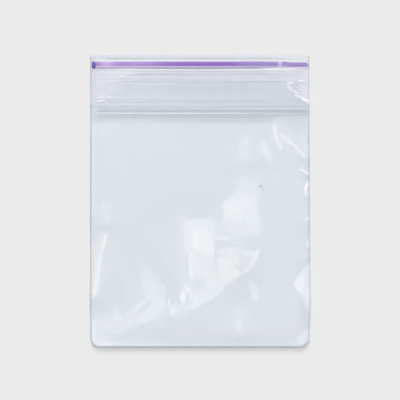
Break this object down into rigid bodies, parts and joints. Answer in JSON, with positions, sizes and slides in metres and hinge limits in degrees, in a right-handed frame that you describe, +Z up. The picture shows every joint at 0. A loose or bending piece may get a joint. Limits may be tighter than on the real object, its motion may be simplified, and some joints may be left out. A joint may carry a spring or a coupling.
{
  "type": "resealable plastic bag",
  "caption": "Empty clear plastic bag, shut and lying flat, with a purple zip track, a ribbed grip band and a clear lower track below an open lip.",
  "frame": {"origin": "centre of the bag's outline, on the surface that it lies on", "axes": "+X along the zip to the right as seen from above, +Y from the bottom fold to the mouth, +Z up through the front panel"},
  "size_m": [0.15, 0.2004, 0.0054],
  "materials": {
    "clear_film": "clear soft polyethylene film, glossy, with a faint cool haze and soft creases",
    "purple_plastic": "translucent purple extruded track, glossy under the film, darker at its crushed ends",
    "clear_band": "thicker clear film with fine extruded lines along it"
  },
  "bodies": {
    "root": {"bag_film": "clear_film", "zip_track_purple": "purple_plastic", "grip_band": "clear_band", "zip_track_clear": "clear_band"}
  },
  "joints": []
}
